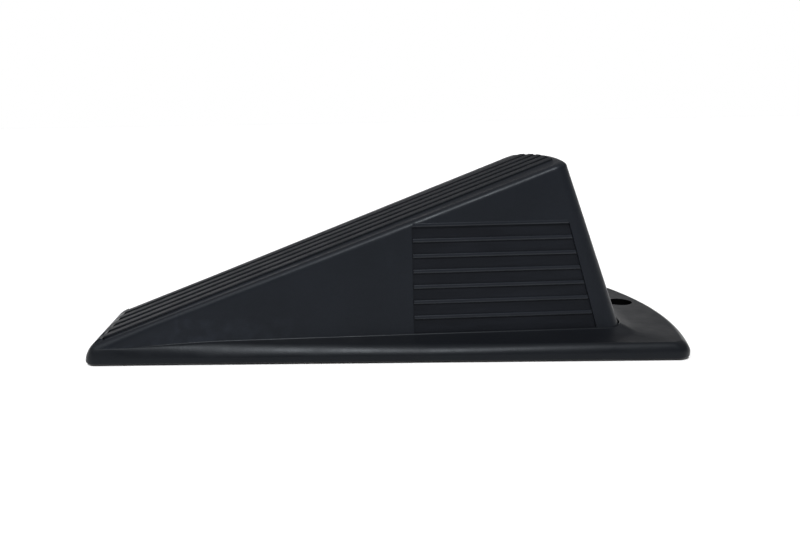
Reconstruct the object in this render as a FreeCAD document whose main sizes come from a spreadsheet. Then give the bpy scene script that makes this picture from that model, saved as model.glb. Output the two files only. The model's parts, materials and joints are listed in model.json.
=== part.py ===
import FreeCAD, Part
import math
import os

import Sketcher
from FreeCAD import Matrix, Placement, Rotation, Vector

# A free-standing wedge door stop. +X runs from the toe to the heel, +Y across, +Z up.
# The origin is on the floor, midway along the length and on the centre plane.

SIZES = [
    # alias, value in mm or degrees, meaning
    ("length", 171.5, "toe to heel"),
    ("plate_bottom", 0.3, "underside of the base plate above the floor"),
    ("plate_top", 4.8, "top face of the base plate, where the shell stands"),
    ("plate_toe_half", 18.6, "half width of the base plate at the toe"),
    ("plate_flare", 9.3, "plan angle of the base plate's sides"),
    ("plate_rim_round", 2.2, "rounding of the base plate's upper rim"),
    ("plate_foot_round", 0.8, "rounding of the base plate's lower rim"),
    ("heel_corner_x", 75.9, "where the flared sides meet the heel bow"),
    ("heel_corner_round", 4.0, "plan radius of the heel corners"),
    ("toe_corner_round", 4.0, "plan radius of the toe corners"),
    ("hang_hole_x", 76.6, "centre of the hanging hole"),
    ("hang_hole_radius", 4.1, "radius of the hanging hole"),
    ("wall_half", 25.6, "half width of the shell's foot at mid length"),
    ("wall_flare", 4.75, "plan angle of the shell's sides"),
    ("wall_draft", 6.5, "inward lean of the shell's sides"),
    ("wall_thickness", 3.0, "side and back walls of the shell"),
    ("deck_angle", 19.76, "slope of the deck"),
    ("deck_toe_height", 4.65, "height of the deck plane above the floor at the toe"),
    ("deck_thickness", 3.2, "wall under the deck"),
    ("nose_radius", 7.0, "rounding where the tread turns down at the toe"),
    ("back_corner_x", 62.7, "foot of the back wall at the shell's corners"),
    ("back_lean", 17.5, "lean of the back wall from upright"),
    ("back_radius", 100.0, "plan radius of the bowed back wall"),
    ("back_corner_round", 4.0, "rounding of the upright back corners"),
    ("crest_round", 1.8, "rounding of the crest"),
    ("deck_edge_round", 1.8, "rounding between the deck and the sides"),
    ("loft_top", 60.0, "height that the walls are lofted to before the deck cut"),
    ("cavity_front", -58.0, "front end of the hollow"),
    ("web_thickness", 2.4, "stiffening webs in the hollow"),
    ("web_foot", 7.4, "lower edge of the webs"),
    ("boss_radius", 4.4, "screw bosses in the hollow"),
    ("pilot_radius", 1.75, "pilot holes in the bosses"),
    ("pilot_depth", 9.0, "depth of the pilot holes"),
    ("tread_pitch", 6.5, "spacing of the tread strips"),
    ("tread_width", 3.4, "width of a tread strip's cap"),
    ("tread_rise", 0.6, "cap above the deck"),
    ("tread_root_width", 2.0, "width of the root in its groove"),
    ("tread_root_depth", 1.6, "depth of the root in its groove"),
    ("tread_root_front", -78.5, "front end of the root"),
    ("tread_root_back", 43.0, "back end of the root"),
    ("tread_end_x", 48.3, "crest end of the middle strip"),
    ("tread_end_radius", 83.0, "plan radius of the line of strip ends"),
    ("grip_front", 4.1, "front edge of a side grip along the wall"),
    ("grip_low", 1.1, "lower edge of a side grip above the wall's foot"),
    ("grip_high", 30.87, "upper edge of a side grip above the wall's foot"),
    ("grip_back_low", 55.9, "back edge of a side grip at its lower edge"),
    ("grip_back_high", 48.1, "back edge of a side grip at its upper edge"),
    ("grip_floor", 0.6, "thickness of the grip's backing"),
    ("grip_rib_height", 0.8, "ribs above the backing"),
    ("grip_rib_thickness", 1.1, "thickness of a rib"),
    ("grip_rib_first", 5.8, "centre of the lowest rib above the wall's foot"),
    ("grip_rib_pitch", 4.27, "spacing of the ribs"),
    ("spigot_height", 2.0, "locating rim on the base plate"),
    ("spigot_thickness", 1.6, "thickness of the locating rim"),
    ("spigot_clearance", 0.2, "gap between the rim and the shell"),
    ("sole_thickness", 1.9, "non-slip sole"),
    ("sole_front", -78.5, "front end of the sole"),
    ("sole_back", 64.0, "back end of the sole"),
    ("sole_margin", 5.0, "sole set in from the sides of the base plate"),
    ("sole_corner_round", 5.0, "plan radius of the sole's corners"),
    ("sole_groove_width", 2.0, "cross grooves in the sole"),
    ("sole_groove_depth", 0.9, "depth of the cross grooves"),
    ("sole_groove_pitch", 7.0, "spacing of the cross grooves"),
    ("screw_head_radius", 3.4, "countersunk screw heads"),
    ("screw_radius", 1.7, "screw shanks"),
    ("screw_hole_radius", 1.9, "screw holes in the base plate"),
    ("screw_reach", 12.3, "height of the screw tips above the floor"),
    ("screw_slot_depth", 0.9, "cross recess in the heads"),
    ("front_screw_x", -44.0, "front pair of screws"),
    ("front_screw_y", 9.0, "front pair of screws, off centre"),
    ("back_screw_x", 44.0, "back pair of screws"),
    ("back_screw_y", 18.0, "back pair of screws, off centre"),
]
TREAD_STRIPS = 5
GRIP_RIBS = 6
SOLE_GROOVES = 19
WEB_PLACES = (-20.0, 20.0)
OVERSHOOT = 10.0  # how far a cutting shape runs past what it cuts
CLOSE = 0.02  # how near a point counts as lying on a plane

doc = FreeCAD.newDocument("door_stop")
sheet = doc.addObject("Spreadsheet::Sheet", "Sizes")


class Measure:
    """A size that knows its value and the spreadsheet expression that gives it."""

    def __init__(self, value, text):
        self.value = value
        self.text = text

    def __add__(self, other):
        other = measured(other)
        return Measure(self.value + other.value, f"({self.text} + {other.text})")

    def __sub__(self, other):
        other = measured(other)
        return Measure(self.value - other.value, f"({self.text} - {other.text})")

    def __mul__(self, other):
        other = measured(other)
        return Measure(self.value * other.value, f"({self.text} * {other.text})")

    def __truediv__(self, other):
        other = measured(other)
        return Measure(self.value / other.value, f"({self.text} / {other.text})")

    def __neg__(self):
        return Measure(-self.value, f"(-1 * {self.text})")


def measured(number):
    """A plain number as a Measure."""
    if isinstance(number, Measure):
        return number
    return Measure(float(number), f"({float(number):.6g})")


def size(alias):
    """The Measure of one spreadsheet cell."""
    return Measure(float(sheet.get(alias)), f"Sizes.{alias}")


def tangent(angle):
    return Measure(math.tan(math.radians(angle.value)), f"tan({angle.text})")


def cosine(angle):
    return Measure(math.cos(math.radians(angle.value)), f"cos({angle.text})")


def sine(angle):
    return Measure(math.sin(math.radians(angle.value)), f"sin({angle.text})")


def root(area):
    return Measure(math.sqrt(area.value), f"sqrt({area.text})")


def fill_sheet():
    for row, (alias, value, meaning) in enumerate(SIZES, start=1):
        sheet.set(f"A{row}", meaning)
        sheet.set(f"B{row}", str(value))
        sheet.setAlias(f"B{row}", alias)
    doc.recompute()


# ---- sketches and features -------------------------------------------------


def new_body(label):
    body = doc.addObject("PartDesign::Body", label)
    body.Label = label
    return body


def new_sketch(body, name, plane, lift=None):
    """An empty sketch on one of the body's own origin planes, lifted along its normal."""
    sketch = body.newObject("Sketcher::SketchObject", name)
    support = [item for item in body.Origin.OriginFeatures if item.Role == plane][0]
    sketch.AttachmentSupport = [(support, "")]
    sketch.MapMode = "FlatFace"
    if lift is not None:
        sketch.AttachmentOffset = Placement(Vector(0, 0, lift.value), Rotation())
        sketch.setExpression("AttachmentOffset.Base.z", lift.text)
    return sketch


def bind(sketch, constraint, measure, name):
    """Add a dimension and tie it to its expression."""
    index = sketch.addConstraint(constraint)
    sketch.renameConstraint(index, name)
    sketch.setExpression(f"Constraints.{name}", measure.text)


def pin_point(sketch, geometry, end, point, name):
    x, y = point
    bind(sketch, Sketcher.Constraint("DistanceX", geometry, end, x.value), x, name + "_x")
    bind(sketch, Sketcher.Constraint("DistanceY", geometry, end, y.value), y, name + "_y")


def arc_between(start, end, radius, turn):
    """A circle's arc from start to end; turn is 1 where the path turns left, -1 where it turns right."""
    chord = end - start
    middle = (start + end) * 0.5
    left = Vector(-chord.y, chord.x, 0).normalize()
    reach = math.sqrt(radius ** 2 - (chord.Length / 2) ** 2)
    centre = middle + left * (reach * turn)
    first = math.atan2(start.y - centre.y, start.x - centre.x)
    last = math.atan2(end.y - centre.y, end.x - centre.x)
    circle = Part.Circle(centre, Vector(0, 0, 1), radius)
    if turn > 0:
        return Part.ArcOfCircle(circle, first, last)
    return Part.ArcOfCircle(circle, last, first)


def draw_outline(sketch, corners, tag="p"):
    """A closed, dimensioned outline. A corner is (x, y), or (x, y, radius, turn) where an arc follows."""
    corners = [tuple(measured(item) for item in corner[:3]) + corner[3:] for corner in corners]
    count = len(corners)
    ends = []
    for index, corner in enumerate(corners):
        following = corners[(index + 1) % count]
        start = Vector(corner[0].value, corner[1].value, 0)
        end = Vector(following[0].value, following[1].value, 0)
        if len(corner) == 2:
            geometry = sketch.addGeometry(Part.LineSegment(start, end))
            ends.append((geometry, 1, 2))
            continue
        turn = corner[3]
        geometry = sketch.addGeometry(arc_between(start, end, corner[2].value, turn))
        ends.append((geometry, 1, 2) if turn > 0 else (geometry, 2, 1))
    for index, (geometry, first, last) in enumerate(ends):
        next_geometry, next_first, _ = ends[(index + 1) % count]
        sketch.addConstraint(Sketcher.Constraint("Coincident", geometry, last, next_geometry, next_first))
    for index, corner in enumerate(corners):
        geometry, first, _ = ends[index]
        pin_point(sketch, geometry, first, corner[:2], f"{tag}{index}")
        if len(corner) > 2:
            constraint = Sketcher.Constraint("Radius", geometry, corner[2].value)
            bind(sketch, constraint, corner[2], f"{tag}{index}_radius")


def draw_circle(sketch, x, y, radius, tag):
    x, y = measured(x), measured(y)
    circle = Part.Circle(Vector(x.value, y.value, 0), Vector(0, 0, 1), radius.value)
    geometry = sketch.addGeometry(circle)
    pin_point(sketch, geometry, 3, (x, y), tag)
    bind(sketch, Sketcher.Constraint("Radius", geometry, radius.value), radius, tag + "_radius")


def extrude(body, kind, sketch, length=None, midplane=False, reverse=False):
    """A PartDesign Pad or Pocket; with no length a Pocket goes through everything."""
    feature = body.newObject(f"PartDesign::{kind}", f"{sketch.Name}_{kind.lower()}")
    feature.Profile = sketch
    feature.Midplane = midplane
    feature.Reversed = reverse
    if length is None:
        feature.Type = "ThroughAll"
    else:
        feature.Length = length.value
        feature.setExpression("Length", length.text)
    doc.recompute()
    return feature


def cut(body, sketch, length=None, midplane=False, reverse=False):
    """A Pocket that is checked to have removed material."""
    before = body.Shape.Volume
    feature = extrude(body, "Pocket", sketch, length, midplane, reverse)
    if body.Shape.Volume >= before:
        raise RuntimeError(f"{feature.Name} removed nothing")
    return feature


def find_edges(shape, wanted):
    """Numbers of the edges that a test picks out."""
    picked = [index for index, edge in enumerate(shape.Edges, start=1) if wanted(edge)]
    if not picked:
        raise RuntimeError(f"{wanted.__name__} found no edges")
    return picked


def dress_edges(body, kind, name, amount, wanted):
    """A Fillet or Chamfer on every edge that the test picks out."""
    base = body.Tip
    picked = [f"Edge{index}" for index in find_edges(base.Shape, wanted)]
    feature = body.newObject(f"PartDesign::{kind}", name)
    feature.Base = (base, picked)
    dimension = "Radius" if kind == "Fillet" else "Size"
    setattr(feature, dimension, amount.value)
    feature.setExpression(dimension, amount.text)
    doc.recompute()
    return feature


def round_edges(body, name, radius, wanted):
    return dress_edges(body, "Fillet", name, radius, wanted)


def repeat(body, feature, axis_role, length, count, reverse=False):
    """A linear pattern along one of the body's own axes."""
    pattern = body.newObject("PartDesign::LinearPattern", feature.Name + "_row")
    pattern.Originals = [feature]
    axis = [item for item in body.Origin.OriginFeatures if item.Role == axis_role][0]
    pattern.Direction = (axis, [""])
    pattern.Reversed = reverse
    pattern.Length = length.value
    pattern.setExpression("Length", length.text)
    pattern.Occurrences = count
    body.Tip = pattern
    doc.recompute()
    return pattern


def edge_middle(edge):
    return edge.valueAt((edge.FirstParameter + edge.LastParameter) / 2)


# ---- shapes that several pieces share -----------------------------------------


def toe_x():
    return -(size("length") / 2)


def heel_x():
    return size("length") / 2


def plate_half(x):
    """Half width of the base plate at x."""
    return size("plate_toe_half") + (x - toe_x()) * tangent(size("plate_flare"))


def wall_half(x, z):
    """Half width of the shell's outer side at x and z."""
    along = size("wall_half") + x * tangent(size("wall_flare"))
    return along - (z - size("plate_top")) * tangent(size("wall_draft"))


def deck_height(x, above):
    """Height at x of a line parallel to the deck and a given distance above it."""
    rise = (x - toe_x()) * tangent(size("deck_angle"))
    return size("deck_toe_height") + rise + above / cosine(size("deck_angle"))


def back_x(z):
    """Where the back wall meets the side walls at height z."""
    return size("back_corner_x") - (z - size("plate_top")) * tangent(size("back_lean"))


def wall_plan(z, inset, front):
    """Plan of the walls at height z, set in by a wall thickness."""
    back = back_x(z) - inset
    back_half = wall_half(back, z) - inset
    front_half = wall_half(front, z) - inset
    return [
        (front, front_half),
        (front, -front_half),
        (back, -back_half, size("back_radius") - inset, 1),
        (back, back_half),
    ]


def nose_centre():
    """Centre of the nose arc, which touches the tread's top plane and the upright at the toe."""
    x = toe_x() + size("nose_radius")
    height = deck_height(x, size("tread_rise")) - size("nose_radius") / cosine(size("deck_angle"))
    return x, height


def nose_top():
    """Where the nose arc runs into the tread's top plane."""
    x, z = nose_centre()
    radius = size("nose_radius")
    return x - radius * sine(size("deck_angle")), z + radius * cosine(size("deck_angle"))


def nose_crossing():
    """Where the nose arc crosses the deck plane, so that the strips fade out there."""
    x, z = nose_centre()
    radius, angle = size("nose_radius"), size("deck_angle")
    up = radius - size("tread_rise")
    along = root(radius * radius - up * up)
    return x - up * sine(angle) - along * cosine(angle), z + up * cosine(angle) - along * sine(angle)


def nose_at(z):
    """X of the nose arc at height z."""
    x, centre_z = nose_centre()
    rise = z - centre_z
    return x - root(size("nose_radius") * size("nose_radius") - rise * rise)


def wall_frame(side):
    """Placement on a side wall's outer face: local X along the foot, local Y up the wall, local Z outward."""
    flare = tangent(size("wall_flare")).value
    draft = tangent(size("wall_draft")).value
    outward = Vector(-flare, side, draft).normalize()
    along = Vector(-side, -flare, 0).normalize()
    up = outward.cross(along)
    turned = Matrix(
        along.x, up.x, outward.x, 0,
        along.y, up.y, outward.y, side * size("wall_half").value,
        along.z, up.z, outward.z, size("plate_top").value,
        0, 0, 0, 1,
    )
    return Placement(turned)


def grip_plan(side):
    """Outline of a side grip in its wall's frame."""
    low, high = size("grip_low"), size("grip_high")
    ends = [
        (size("grip_front"), low),
        (size("grip_back_low"), low),
        (size("grip_back_high"), high),
        (size("grip_front"), high),
    ]
    return [(along * -side, up) for along, up in ends]


def sole_plan():
    """Outline of the sole and of its recess."""
    front, back = size("sole_front"), size("sole_back")
    front_half = plate_half(front) - size("sole_margin")
    back_half = plate_half(back) - size("sole_margin")
    return [(front, -front_half), (back, -back_half), (back, back_half), (front, front_half)]


def screw_places():
    """The four screws as (x, y) Measures."""
    pairs = [("front_screw_x", "front_screw_y"), ("back_screw_x", "back_screw_y")]
    return [(size(x), size(y) * side) for x, y in pairs for side in (-1, 1)]


def is_upright(edge):
    """True for an edge that climbs at 60 degrees or more."""
    ends = [vertex.Point for vertex in edge.Vertexes]
    return len(ends) == 2 and abs(ends[0].z - ends[1].z) > edge.Length * math.sin(math.radians(60))


# ---- the pieces -------------------------------------------------------------------


def make_shell_block():
    """The shell's outer form, run on past its toe and foot: drafted walls, cut by the nose and the deck."""
    body = new_body("shell_block")
    front = toe_x() - OVERSHOOT
    loft_walls(body, "shell", size("plate_top") - OVERSHOOT, measured(0), front)
    slope = new_sketch(body, "deck_cut", "XZ_Plane")
    start, back = front - OVERSHOOT, heel_x()
    low, high = size("plate_bottom"), size("loft_top") + OVERSHOOT
    draw_outline(slope, [
        (start, low),
        (nose_at(low), low, size("nose_radius"), -1),
        nose_crossing(),
        (back, deck_height(back, measured(0))),
        (back, high),
        (start, high),
    ])
    cut(body, slope, size("length") * 2, midplane=True)
    round_edges(body, "back_corners", size("back_corner_round"), is_back_corner)
    return body


def loft_walls(body, name, low, inset, front):
    """A ruled loft between the walls' plans at a low height and at the top."""
    foot = new_sketch(body, name + "_foot", "XY_Plane", low)
    draw_outline(foot, wall_plan(low, inset, front))
    top = new_sketch(body, name + "_top", "XY_Plane", size("loft_top"))
    draw_outline(top, wall_plan(size("loft_top"), inset, front))
    doc.recompute()
    walls = body.newObject("PartDesign::AdditiveLoft", name + "_walls")
    walls.Profile = foot
    walls.Sections = [top]
    walls.Ruled = True
    doc.recompute()


def is_back_corner(edge):
    return is_upright(edge) and edge_middle(edge).x > 0


def is_deck_rim(edge):
    """True for an edge of the deck plane, apart from its front end."""
    for parameter in (edge.FirstParameter, edge.LastParameter):
        point = edge.valueAt(parameter)
        if abs(point.z - deck_height(measured(point.x), measured(0)).value) > CLOSE:
            return False
    return edge_middle(edge).x > nose_crossing()[0].value + CLOSE


def deck_rim_radii(edge):
    """Rounding at each end of a deck rim edge: small along the sides, large along the crest."""
    small, large = size("deck_edge_round").value, size("crest_round").value
    if edge.Length > size("length").value / 2:
        return small, small
    if abs(edge_middle(edge).y) < CLOSE:
        return large, large
    first = edge.valueAt(edge.FirstParameter)
    last = edge.valueAt(edge.LastParameter)
    return (small, large) if abs(first.y) > abs(last.y) else (large, small)


def round_deck_rim(block):
    """One running fillet along the sides and over the crest."""
    rounded = doc.addObject("Part::Fillet", "shell_rounded")
    rounded.Base = block
    edges = block.Shape.Edges
    rounded.Edges = [
        (index, *deck_rim_radii(edges[index - 1])) for index in find_edges(block.Shape, is_deck_rim)
    ]
    doc.recompute()
    return rounded


def make_shell_solid():
    """The rounded form with its tread grooves, grip recesses and pilot holes, before it is hollowed."""
    rounded = round_deck_rim(make_shell_block())
    body = new_body("shell_solid")
    body.BaseFeature = rounded
    doc.recompute()
    foot = new_sketch(body, "foot_cut", "XY_Plane", size("plate_top"))
    wide = size("length")
    draw_outline(foot, [(-wide, -wide), (wide, -wide), (wide, wide), (-wide, wide)])
    cut(body, foot)
    cut_tread_grooves(body)
    for side, name in ((-1, "left_recess"), (1, "right_recess")):
        cut_grip_recess(body, side, name)
    pilots = new_sketch(body, "pilot_holes", "XY_Plane", size("plate_top"))
    for index, (x, y) in enumerate(screw_places()):
        draw_circle(pilots, x, y, size("pilot_radius"), f"pilot{index}")
    cut(body, pilots, size("pilot_depth"), reverse=True)
    return body


def cut_grip_recess(body, side, name):
    recess = new_sketch(body, name, "XZ_Plane")
    upright = [item for item in body.Origin.OriginFeatures if item.Role == "XZ_Plane"][0].Placement
    recess.AttachmentOffset = upright.inverse().multiply(wall_frame(side))
    draw_outline(recess, grip_plan(side))
    cut(body, recess, size("grip_floor") + size("grip_rib_height"))


def cut_tread_grooves(body):
    """Five grooves along the deck that hold the strips' roots."""
    outermost = size("tread_pitch") * ((TREAD_STRIPS - 1) / 2)
    groove = new_sketch(body, "tread_groove", "XZ_Plane", outermost)
    draw_outline(groove, root_profile(size("tread_rise")))
    first = cut(body, groove, size("tread_root_width"), midplane=True)
    repeat(body, first, "Y_Axis", size("tread_pitch") * (TREAD_STRIPS - 1), TREAD_STRIPS)


def root_profile(height):
    """Side view of a strip's root, from its floor to a height above the deck."""
    front, back = size("tread_root_front"), size("tread_root_back")
    floor = -size("tread_root_depth")
    return [
        (front, deck_height(front, floor)),
        (back, deck_height(back, floor)),
        (back, deck_height(back, height)),
        (front, deck_height(front, height)),
    ]


def make_cavity():
    """The hollow under the shell, with the webs and bosses left out of it."""
    body = new_body("cavity")
    front = size("cavity_front")
    loft_walls(body, "cavity", size("plate_top"), size("wall_thickness"), front)
    roof = new_sketch(body, "roof_cut", "XZ_Plane")
    below = -size("deck_thickness")
    start, back = front - OVERSHOOT, heel_x()
    high = size("loft_top") + OVERSHOOT
    draw_outline(roof, [
        (start, deck_height(start, below)),
        (back, deck_height(back, below)),
        (back, high),
        (start, high),
    ])
    cut(body, roof, size("length") * 2, midplane=True)

    half = size("web_thickness") / 2
    long_web = new_sketch(body, "long_web", "XY_Plane", size("web_foot"))
    draw_outline(long_web, [(start, -half), (back, -half), (back, half), (start, half)])
    cut(body, long_web, reverse=True)
    for index, place in enumerate(WEB_PLACES):
        web = new_sketch(body, f"cross_web_{index + 1}", "XY_Plane", size("web_foot"))
        fore, aft = measured(place) - half, measured(place) + half
        wide = size("length") / 2
        draw_outline(web, [(fore, -wide), (aft, -wide), (aft, wide), (fore, wide)])
        cut(body, web, reverse=True)
    bosses = new_sketch(body, "bosses", "XY_Plane", size("plate_top"))
    for index, (x, y) in enumerate(screw_places()):
        draw_circle(bosses, x, y, size("boss_radius"), f"boss{index}")
    cut(body, bosses, reverse=True)
    return body


def make_wedge_shell():
    shell = doc.addObject("Part::Cut", "wedge_shell")
    shell.Label = "wedge_shell"
    shell.Base = make_shell_solid()
    shell.Tool = make_cavity()
    doc.recompute()
    return shell


def make_base_plate():
    """The flared plate under the shell, with its heel, hanging hole, locating rim and sole recess."""
    body = new_body("base_plate")
    bottom, top = size("plate_bottom"), size("plate_top")
    corner = size("heel_corner_x")
    half, depth = plate_half(corner), heel_x() - corner
    bow = (half * half + depth * depth) / (depth * 2)
    plan = new_sketch(body, "plate_plan", "XY_Plane", bottom)
    draw_outline(plan, [
        (toe_x(), -size("plate_toe_half")),
        (corner, -half, bow, 1),
        (corner, half),
        (toe_x(), size("plate_toe_half")),
    ])
    extrude(body, "Pad", plan, top - bottom)
    round_edges(body, "toe_corners", size("toe_corner_round"),
                lambda edge: is_upright(edge) and edge_middle(edge).x < 0)
    round_edges(body, "heel_corners", size("heel_corner_round"),
                lambda edge: is_upright(edge) and 0 < edge_middle(edge).x < corner.value + CLOSE)
    behind_toe = toe_x().value + CLOSE
    round_edges(body, "upper_rim", size("plate_rim_round"),
                lambda edge: edge_middle(edge).z > top.value - CLOSE and edge_middle(edge).x > behind_toe)
    round_edges(body, "lower_rim", size("plate_foot_round"),
                lambda edge: edge_middle(edge).z < bottom.value + CLOSE)
    trim_plate_nose(body)
    add_spigot(body)
    recess = new_sketch(body, "sole_recess", "XY_Plane", bottom)
    draw_outline(recess, sole_plan())
    cut(body, recess, size("sole_thickness") - bottom, reverse=True)
    round_edges(body, "recess_corners", size("sole_corner_round"), is_recess_corner)
    hole = new_sketch(body, "hang_hole", "XY_Plane")
    draw_circle(hole, size("hang_hole_x"), 0, size("hang_hole_radius"), "hang")
    cut(body, hole, size("plate_top") * 2, reverse=True)
    add_screw_holes(body)
    return body


def is_recess_corner(edge):
    """True for the four upright edges of the sole's recess."""
    middle = edge_middle(edge)
    margin = size("sole_margin").value - CLOSE
    inside = abs(middle.y) < plate_half(measured(middle.x)).value - margin
    return inside and is_upright(edge) and middle.z < size("sole_thickness").value


def trim_plate_nose(body):
    """Carry the nose arc down over the plate's toe."""
    nose = new_sketch(body, "plate_nose", "XZ_Plane")
    radius = size("nose_radius")
    low, high = size("plate_bottom"), size("plate_top")
    front = toe_x() - OVERSHOOT
    draw_outline(nose, [
        (front, low),
        (nose_at(low), low, radius, -1),
        (nose_at(high), high),
        (front, high),
    ])
    cut(body, nose, size("length"), midplane=True)


def add_spigot(body):
    """The rim that locates the shell: a low wall that clears the shell's leaning walls at its top."""
    rim = new_sketch(body, "spigot", "XY_Plane", size("plate_top"))
    top = size("plate_top") + size("spigot_height")
    gap, thickness = size("spigot_clearance"), size("spigot_thickness")
    outer = size("wall_thickness") + gap
    front = size("cavity_front") + gap
    draw_outline(rim, wall_plan(top, outer, front), "outer")
    draw_outline(rim, wall_plan(top, outer + thickness, front + thickness), "inner")
    extrude(body, "Pad", rim, size("spigot_height"))


def add_screw_holes(body):
    """Countersunk holes from the recess up to the shell's bosses."""
    seat = size("sole_thickness")
    heads = new_sketch(body, "screw_holes", "XY_Plane", seat)
    for index, (x, y) in enumerate(screw_places()):
        draw_circle(heads, x, y, size("screw_hole_radius"), f"screw{index}")
    cut(body, heads, size("plate_top"), reverse=True)
    sink = size("screw_head_radius") - size("screw_hole_radius")
    dress_edges(body, "Chamfer", "countersinks", sink, is_screw_rim)


def is_screw_rim(edge):
    """True for a screw hole's lower rim."""
    if not isinstance(edge.Curve, Part.Circle) or len(edge.Vertexes) > 1:
        return False
    same_radius = abs(edge.Curve.Radius - size("screw_hole_radius").value) < CLOSE
    return same_radius and abs(edge.Curve.Center.z - size("sole_thickness").value) < CLOSE


def make_sole_pad():
    """The non-slip pad under the base plate, with grooves across its underside."""
    body = new_body("sole_pad")
    plan = new_sketch(body, "sole_plan", "XY_Plane")
    draw_outline(plan, sole_plan())
    extrude(body, "Pad", plan, size("sole_thickness"))
    round_edges(body, "sole_corners", size("sole_corner_round"), is_upright)
    pitch = size("sole_groove_pitch")
    half = size("sole_groove_width") / 2
    groove = new_sketch(body, "sole_groove", "XY_Plane")
    first = pitch * (-SOLE_GROOVES / 2)
    wide = size("length") / 2
    fore, aft = first - half, first + half
    draw_outline(groove, [(fore, -wide), (aft, -wide), (aft, wide), (fore, wide)])
    opened = cut(body, groove, size("sole_groove_depth"), reverse=True)
    repeat(body, opened, "X_Axis", pitch * (SOLE_GROOVES - 1), SOLE_GROOVES)
    return body


def make_tread_strip(index):
    """One strip: a cap on the deck that fades out on the nose, and a root in the deck's groove."""
    body = new_body(f"tread_strip_{index + 1}")
    place = size("tread_pitch") * (index - (TREAD_STRIPS - 1) / 2)
    angle = size("deck_angle")
    rise = size("tread_rise")
    beyond = size("tread_end_x") + OVERSHOOT
    back = beyond - rise * sine(angle)
    cap = new_sketch(body, f"cap_{index + 1}", "XZ_Plane")
    draw_outline(cap, [
        nose_crossing(),
        (beyond, deck_height(beyond, measured(0))),
        (back, deck_height(back, rise)),
        (*nose_top(), size("nose_radius"), 1),
    ])
    extrude(body, "Pad", cap, size("tread_width"), midplane=True)
    key = new_sketch(body, f"root_{index + 1}", "XZ_Plane")
    draw_outline(key, root_profile(rise / 2))
    extrude(body, "Pad", key, size("tread_root_width"), midplane=True)

    end = new_sketch(body, f"end_{index + 1}", "XY_Plane")
    radius = size("tread_end_radius")
    centre = size("tread_end_x") - radius
    left, right = place - size("tread_width"), place + size("tread_width")
    far = beyond + OVERSHOOT
    draw_outline(end, [
        (far, left - place),
        (far, right - place),
        (centre + root(radius * radius - right * right), right - place, radius, -1),
        (centre + root(radius * radius - left * left), left - place),
    ])
    cut(body, end, size("loft_top") * 2, reverse=True)
    body.Placement = Placement(Vector(0, place.value, 0), Rotation())
    body.setExpression("Placement.Base.y", place.text)
    return body


def make_side_grip(side, label):
    """A ribbed inlay in one side wall, built flat and then laid into the wall's recess."""
    body = new_body(label)
    floor = size("grip_floor")
    plan = new_sketch(body, label + "_plan", "XY_Plane")
    draw_outline(plan, grip_plan(side))
    extrude(body, "Pad", plan, floor)
    rib = new_sketch(body, label + "_rib", "XY_Plane", floor)
    half = size("grip_rib_thickness") / 2
    low, high = size("grip_rib_first") - half, size("grip_rib_first") + half
    front, back = size("grip_front") * -side, size("grip_back_low") * -side
    draw_outline(rib, [(front, low), (back, low), (back, high), (front, high)])
    lowest = extrude(body, "Pad", rib, size("grip_rib_height"))
    repeat(body, lowest, "Y_Axis", size("grip_rib_pitch") * (GRIP_RIBS - 1), GRIP_RIBS)
    trim = new_sketch(body, label + "_trim", "XY_Plane")
    outside = (size("grip_back_low") + OVERSHOOT * 2) * -side
    lean = (size("grip_back_low") - size("grip_back_high")) / (size("grip_high") - size("grip_low"))
    above, below = size("grip_high") + OVERSHOOT, size("grip_low") - OVERSHOOT
    draw_outline(trim, [
        ((size("grip_back_low") + lean * OVERSHOOT) * -side, below),
        ((size("grip_back_high") - lean * OVERSHOOT) * -side, above),
        (outside, above),
        (outside, below),
    ])
    cut(body, trim, size("grip_rib_height") + floor * 2, reverse=True)
    sunk = Placement(Vector(0, 0, -(floor + size("grip_rib_height")).value), Rotation())
    body.Placement = wall_frame(side).multiply(sunk)
    return body


def make_screw(index, x, y):
    """A countersunk screw standing point up, with a cross recess in its head."""
    seat = size("sole_thickness")
    sink = size("screw_head_radius") - size("screw_radius")
    head = cone(f"screw_{index}_head", size("screw_head_radius"), size("screw_radius"), seat, sink)
    tip_height = size("screw_radius")
    shank_foot = seat + sink
    shank_top = size("screw_reach") - tip_height
    shank = doc.addObject("Part::Cylinder", f"screw_{index}_shank")
    set_measure(shank, "Radius", size("screw_radius"))
    set_measure(shank, "Height", shank_top - shank_foot)
    set_measure(shank, "Placement.Base.z", shank_foot)
    tip = cone(f"screw_{index}_tip", size("screw_radius"), size("screw_radius") / 6, shank_top, tip_height)
    whole = doc.addObject("Part::MultiFuse", f"screw_{index}_whole")
    whole.Shapes = [head, shank, tip]
    slots = doc.addObject("Part::MultiFuse", f"screw_{index}_slots")
    slots.Shapes = [slot_box(f"screw_{index}_slot_a", False), slot_box(f"screw_{index}_slot_b", True)]
    screw = doc.addObject("Part::Cut", f"screw_{index}")
    screw.Base = whole
    screw.Tool = slots
    set_measure(screw, "Placement.Base.x", x)
    set_measure(screw, "Placement.Base.y", y)
    return screw


def set_measure(item, target, measure):
    item.setExpression(target, measure.text)


def cone(name, low_radius, high_radius, base, height):
    item = doc.addObject("Part::Cone", name)
    set_measure(item, "Radius1", low_radius)
    set_measure(item, "Radius2", high_radius)
    set_measure(item, "Height", height)
    set_measure(item, "Placement.Base.z", base)
    return item


def slot_box(name, crosswise):
    """One bar of the cross recess."""
    item = doc.addObject("Part::Box", name)
    long_side, short_side = size("screw_radius") * 2, size("screw_radius") / 2
    along, across = (short_side, long_side) if crosswise else (long_side, short_side)
    set_measure(item, "Length", along)
    set_measure(item, "Width", across)
    set_measure(item, "Height", size("screw_slot_depth"))
    set_measure(item, "Placement.Base.x", along / -2)
    set_measure(item, "Placement.Base.y", across / -2)
    set_measure(item, "Placement.Base.z", size("sole_thickness"))
    return item


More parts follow.
